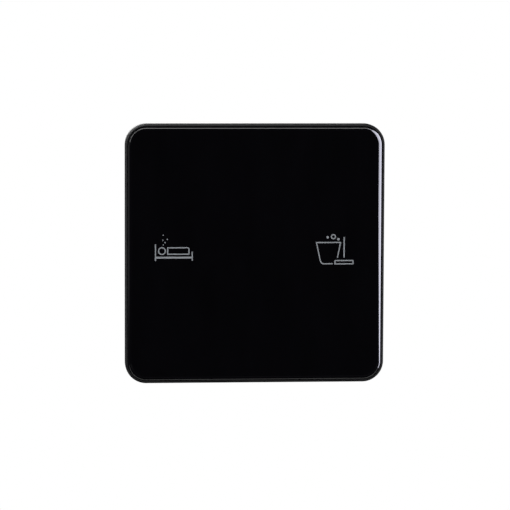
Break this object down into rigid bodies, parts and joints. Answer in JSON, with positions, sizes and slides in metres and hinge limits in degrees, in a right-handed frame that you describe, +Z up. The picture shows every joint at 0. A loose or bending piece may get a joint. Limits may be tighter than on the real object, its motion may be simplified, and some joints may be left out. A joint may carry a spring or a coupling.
{
  "type": "touch control panel",
  "caption": "Square black glass touch panel for a wall box, with two service signs, a clip-on front and screw terminals behind.",
  "frame": {"origin": "on the wall's face, midway between the two wall screws", "axes": "+Y into the wall, +Z up, +X to the right as seen from the room"},
  "size_m": [0.086, 0.0385, 0.086],
  "materials": {
    "black_glass": "polished, printed black behind",
    "frame_plastic": "gloss black moulding",
    "bonding_tape": "black double-sided tape",
    "milky_film": "translucent film",
    "spring_steel": "bright spring steel",
    "circuit_board": "green solder mask",
    "lamp_white": "moulded lamp body",
    "chip_black": "moulded chip",
    "header_plastic": "moulded header",
    "cover_plastic": "fine spark texture",
    "screw_steel": "zinc plated",
    "plate_plastic": "fine spark texture",
    "housing_plastic": "spark texture",
    "contact_brass": "plain brass",
    "relay_case": "moulded case",
    "ferrite": "ferrite core and taped winding",
    "capacitor_sleeve": "shrunk sleeve",
    "fuse_case": "moulded case",
    "varistor_coat": "epoxy coat",
    "terminal_plastic": "grey moulding",
    "clamp_steel": "zinc plated"
  },
  "bodies": {
    "wall_base": {"mounting_plate": "plate_plastic", "retaining_clips": "spring_steel", "back_housing": "housing_plastic", "housing_screws": "screw_steel", "power_board": "circuit_board", "pin_header": "header_plastic", "header_pins": "contact_brass", "relay_left": "relay_case", "relay_right": "relay_case", "power_transformer": "ferrite", "filter_capacitors": "capacitor_sleeve", "fuse": "fuse_case", "varistor": "varistor_coat", "terminal_block": "terminal_plastic", "busbars": "contact_brass"},
    "front_module": {"cover_glass": "black_glass", "glass_tape": "bonding_tape", "front_frame": "frame_plastic", "light_diffusers": "milky_film", "touch_spring_left": "spring_steel", "touch_spring_right": "spring_steel", "touch_board": "circuit_board", "indicator_leds": "lamp_white", "touch_chip": "chip_black", "chip_resistors": "chip_black", "header_socket": "header_plastic", "rear_cover": "cover_plastic", "cover_screws": "screw_steel"},
    "screw_1": {"terminal_screw_1": "screw_steel"},
    "clamp_1": {"wire_clamp_1": "clamp_steel"},
    "screw_2": {"terminal_screw_2": "screw_steel"},
    "clamp_2": {"wire_clamp_2": "clamp_steel"},
    "screw_3": {"terminal_screw_3": "screw_steel"},
    "clamp_3": {"wire_clamp_3": "clamp_steel"},
    "screw_4": {"terminal_screw_4": "screw_steel"},
    "clamp_4": {"wire_clamp_4": "clamp_steel"}
  },
  "joints": [
    {"name": "front_pull", "type": "slide", "parent": "wall_base", "child": "front_module", "axis": [0, -1, 0], "range_m": [0, 0.03], "deforming": ["retaining_clips"]},
    {"name": "terminal_turn_1", "type": "hinge", "parent": "wall_base", "child": "screw_1", "pos_m": [-0.0141, 0.0266, -0.0196], "axis": [0, -1, 0], "range_deg": [0, 2593]},
    {"name": "clamp_lift_1", "type": "slide", "parent": "wall_base", "child": "clamp_1", "axis": [0, 1, 0], "range_m": [0, 0.0036]},
    {"name": "terminal_turn_2", "type": "hinge", "parent": "wall_base", "child": "screw_2", "pos_m": [-0.0047, 0.0266, -0.0196], "axis": [0, -1, 0], "range_deg": [0, 2593]},
    {"name": "clamp_lift_2", "type": "slide", "parent": "wall_base", "child": "clamp_2", "axis": [0, 1, 0], "range_m": [0, 0.0036]},
    {"name": "terminal_turn_3", "type": "hinge", "parent": "wall_base", "child": "screw_3", "pos_m": [0.0047, 0.0266, -0.0196], "axis": [0, -1, 0], "range_deg": [0, 2593]},
    {"name": "clamp_lift_3", "type": "slide", "parent": "wall_base", "child": "clamp_3", "axis": [0, 1, 0], "range_m": [0, 0.0036]},
    {"name": "terminal_turn_4", "type": "hinge", "parent": "wall_base", "child": "screw_4", "pos_m": [0.0141, 0.0266, -0.0196], "axis": [0, -1, 0], "range_deg": [0, 2593]},
    {"name": "clamp_lift_4", "type": "slide", "parent": "wall_base", "child": "clamp_4", "axis": [0, 1, 0], "range_m": [0, 0.0036]}
  ],
  "couplings": [
    {"joint": "terminal_turn_1", "follows": "clamp_lift_1", "rad_per_m": 12566},
    {"joint": "terminal_turn_2", "follows": "clamp_lift_2", "rad_per_m": 12566},
    {"joint": "terminal_turn_3", "follows": "clamp_lift_3", "rad_per_m": 12566},
    {"joint": "terminal_turn_4", "follows": "clamp_lift_4", "rad_per_m": 12566}
  ]
}
